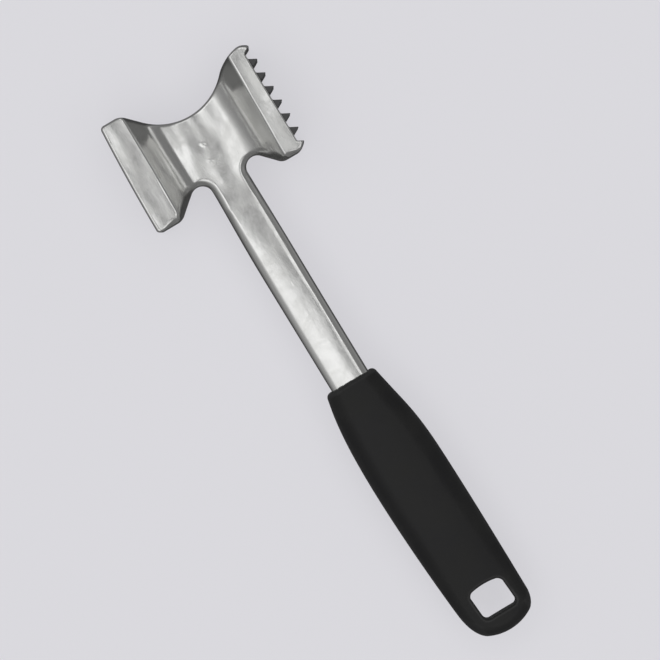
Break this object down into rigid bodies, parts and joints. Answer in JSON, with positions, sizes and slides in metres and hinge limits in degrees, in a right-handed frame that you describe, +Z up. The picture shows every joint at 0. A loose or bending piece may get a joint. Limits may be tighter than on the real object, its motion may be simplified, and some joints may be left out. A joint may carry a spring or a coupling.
{
  "type": "meat mallet",
  "caption": "Hand mallet for meat: a cast aluminium head with one smooth and one spiked square face, a slim cast shank and a black grip with a hanging hole.",
  "frame": {"origin": "on the floor, under the middle of the bounding box of the mallet lying on its side; the shank's axis runs above it", "axes": "+X the way the spiked face strikes, +Y along the handle from the grip to the head, +Z up through the thickness"},
  "size_m": [0.0653, 0.24, 0.045],
  "materials": {
    "cast_aluminium": "die-cast aluminium, tumbled and buffed to a soft satin shine",
    "core_plastic": "as moulded, hidden",
    "grip_skin": "fine matte moulded texture, black",
    "pin_steel": "plain, hidden"
  },
  "bodies": {
    "root": {"head_casting": "cast_aluminium", "grip_core": "core_plastic", "grip_sleeve": "grip_skin", "tang_pin_front": "pin_steel", "tang_pin_rear": "pin_steel"}
  },
  "joints": []
}
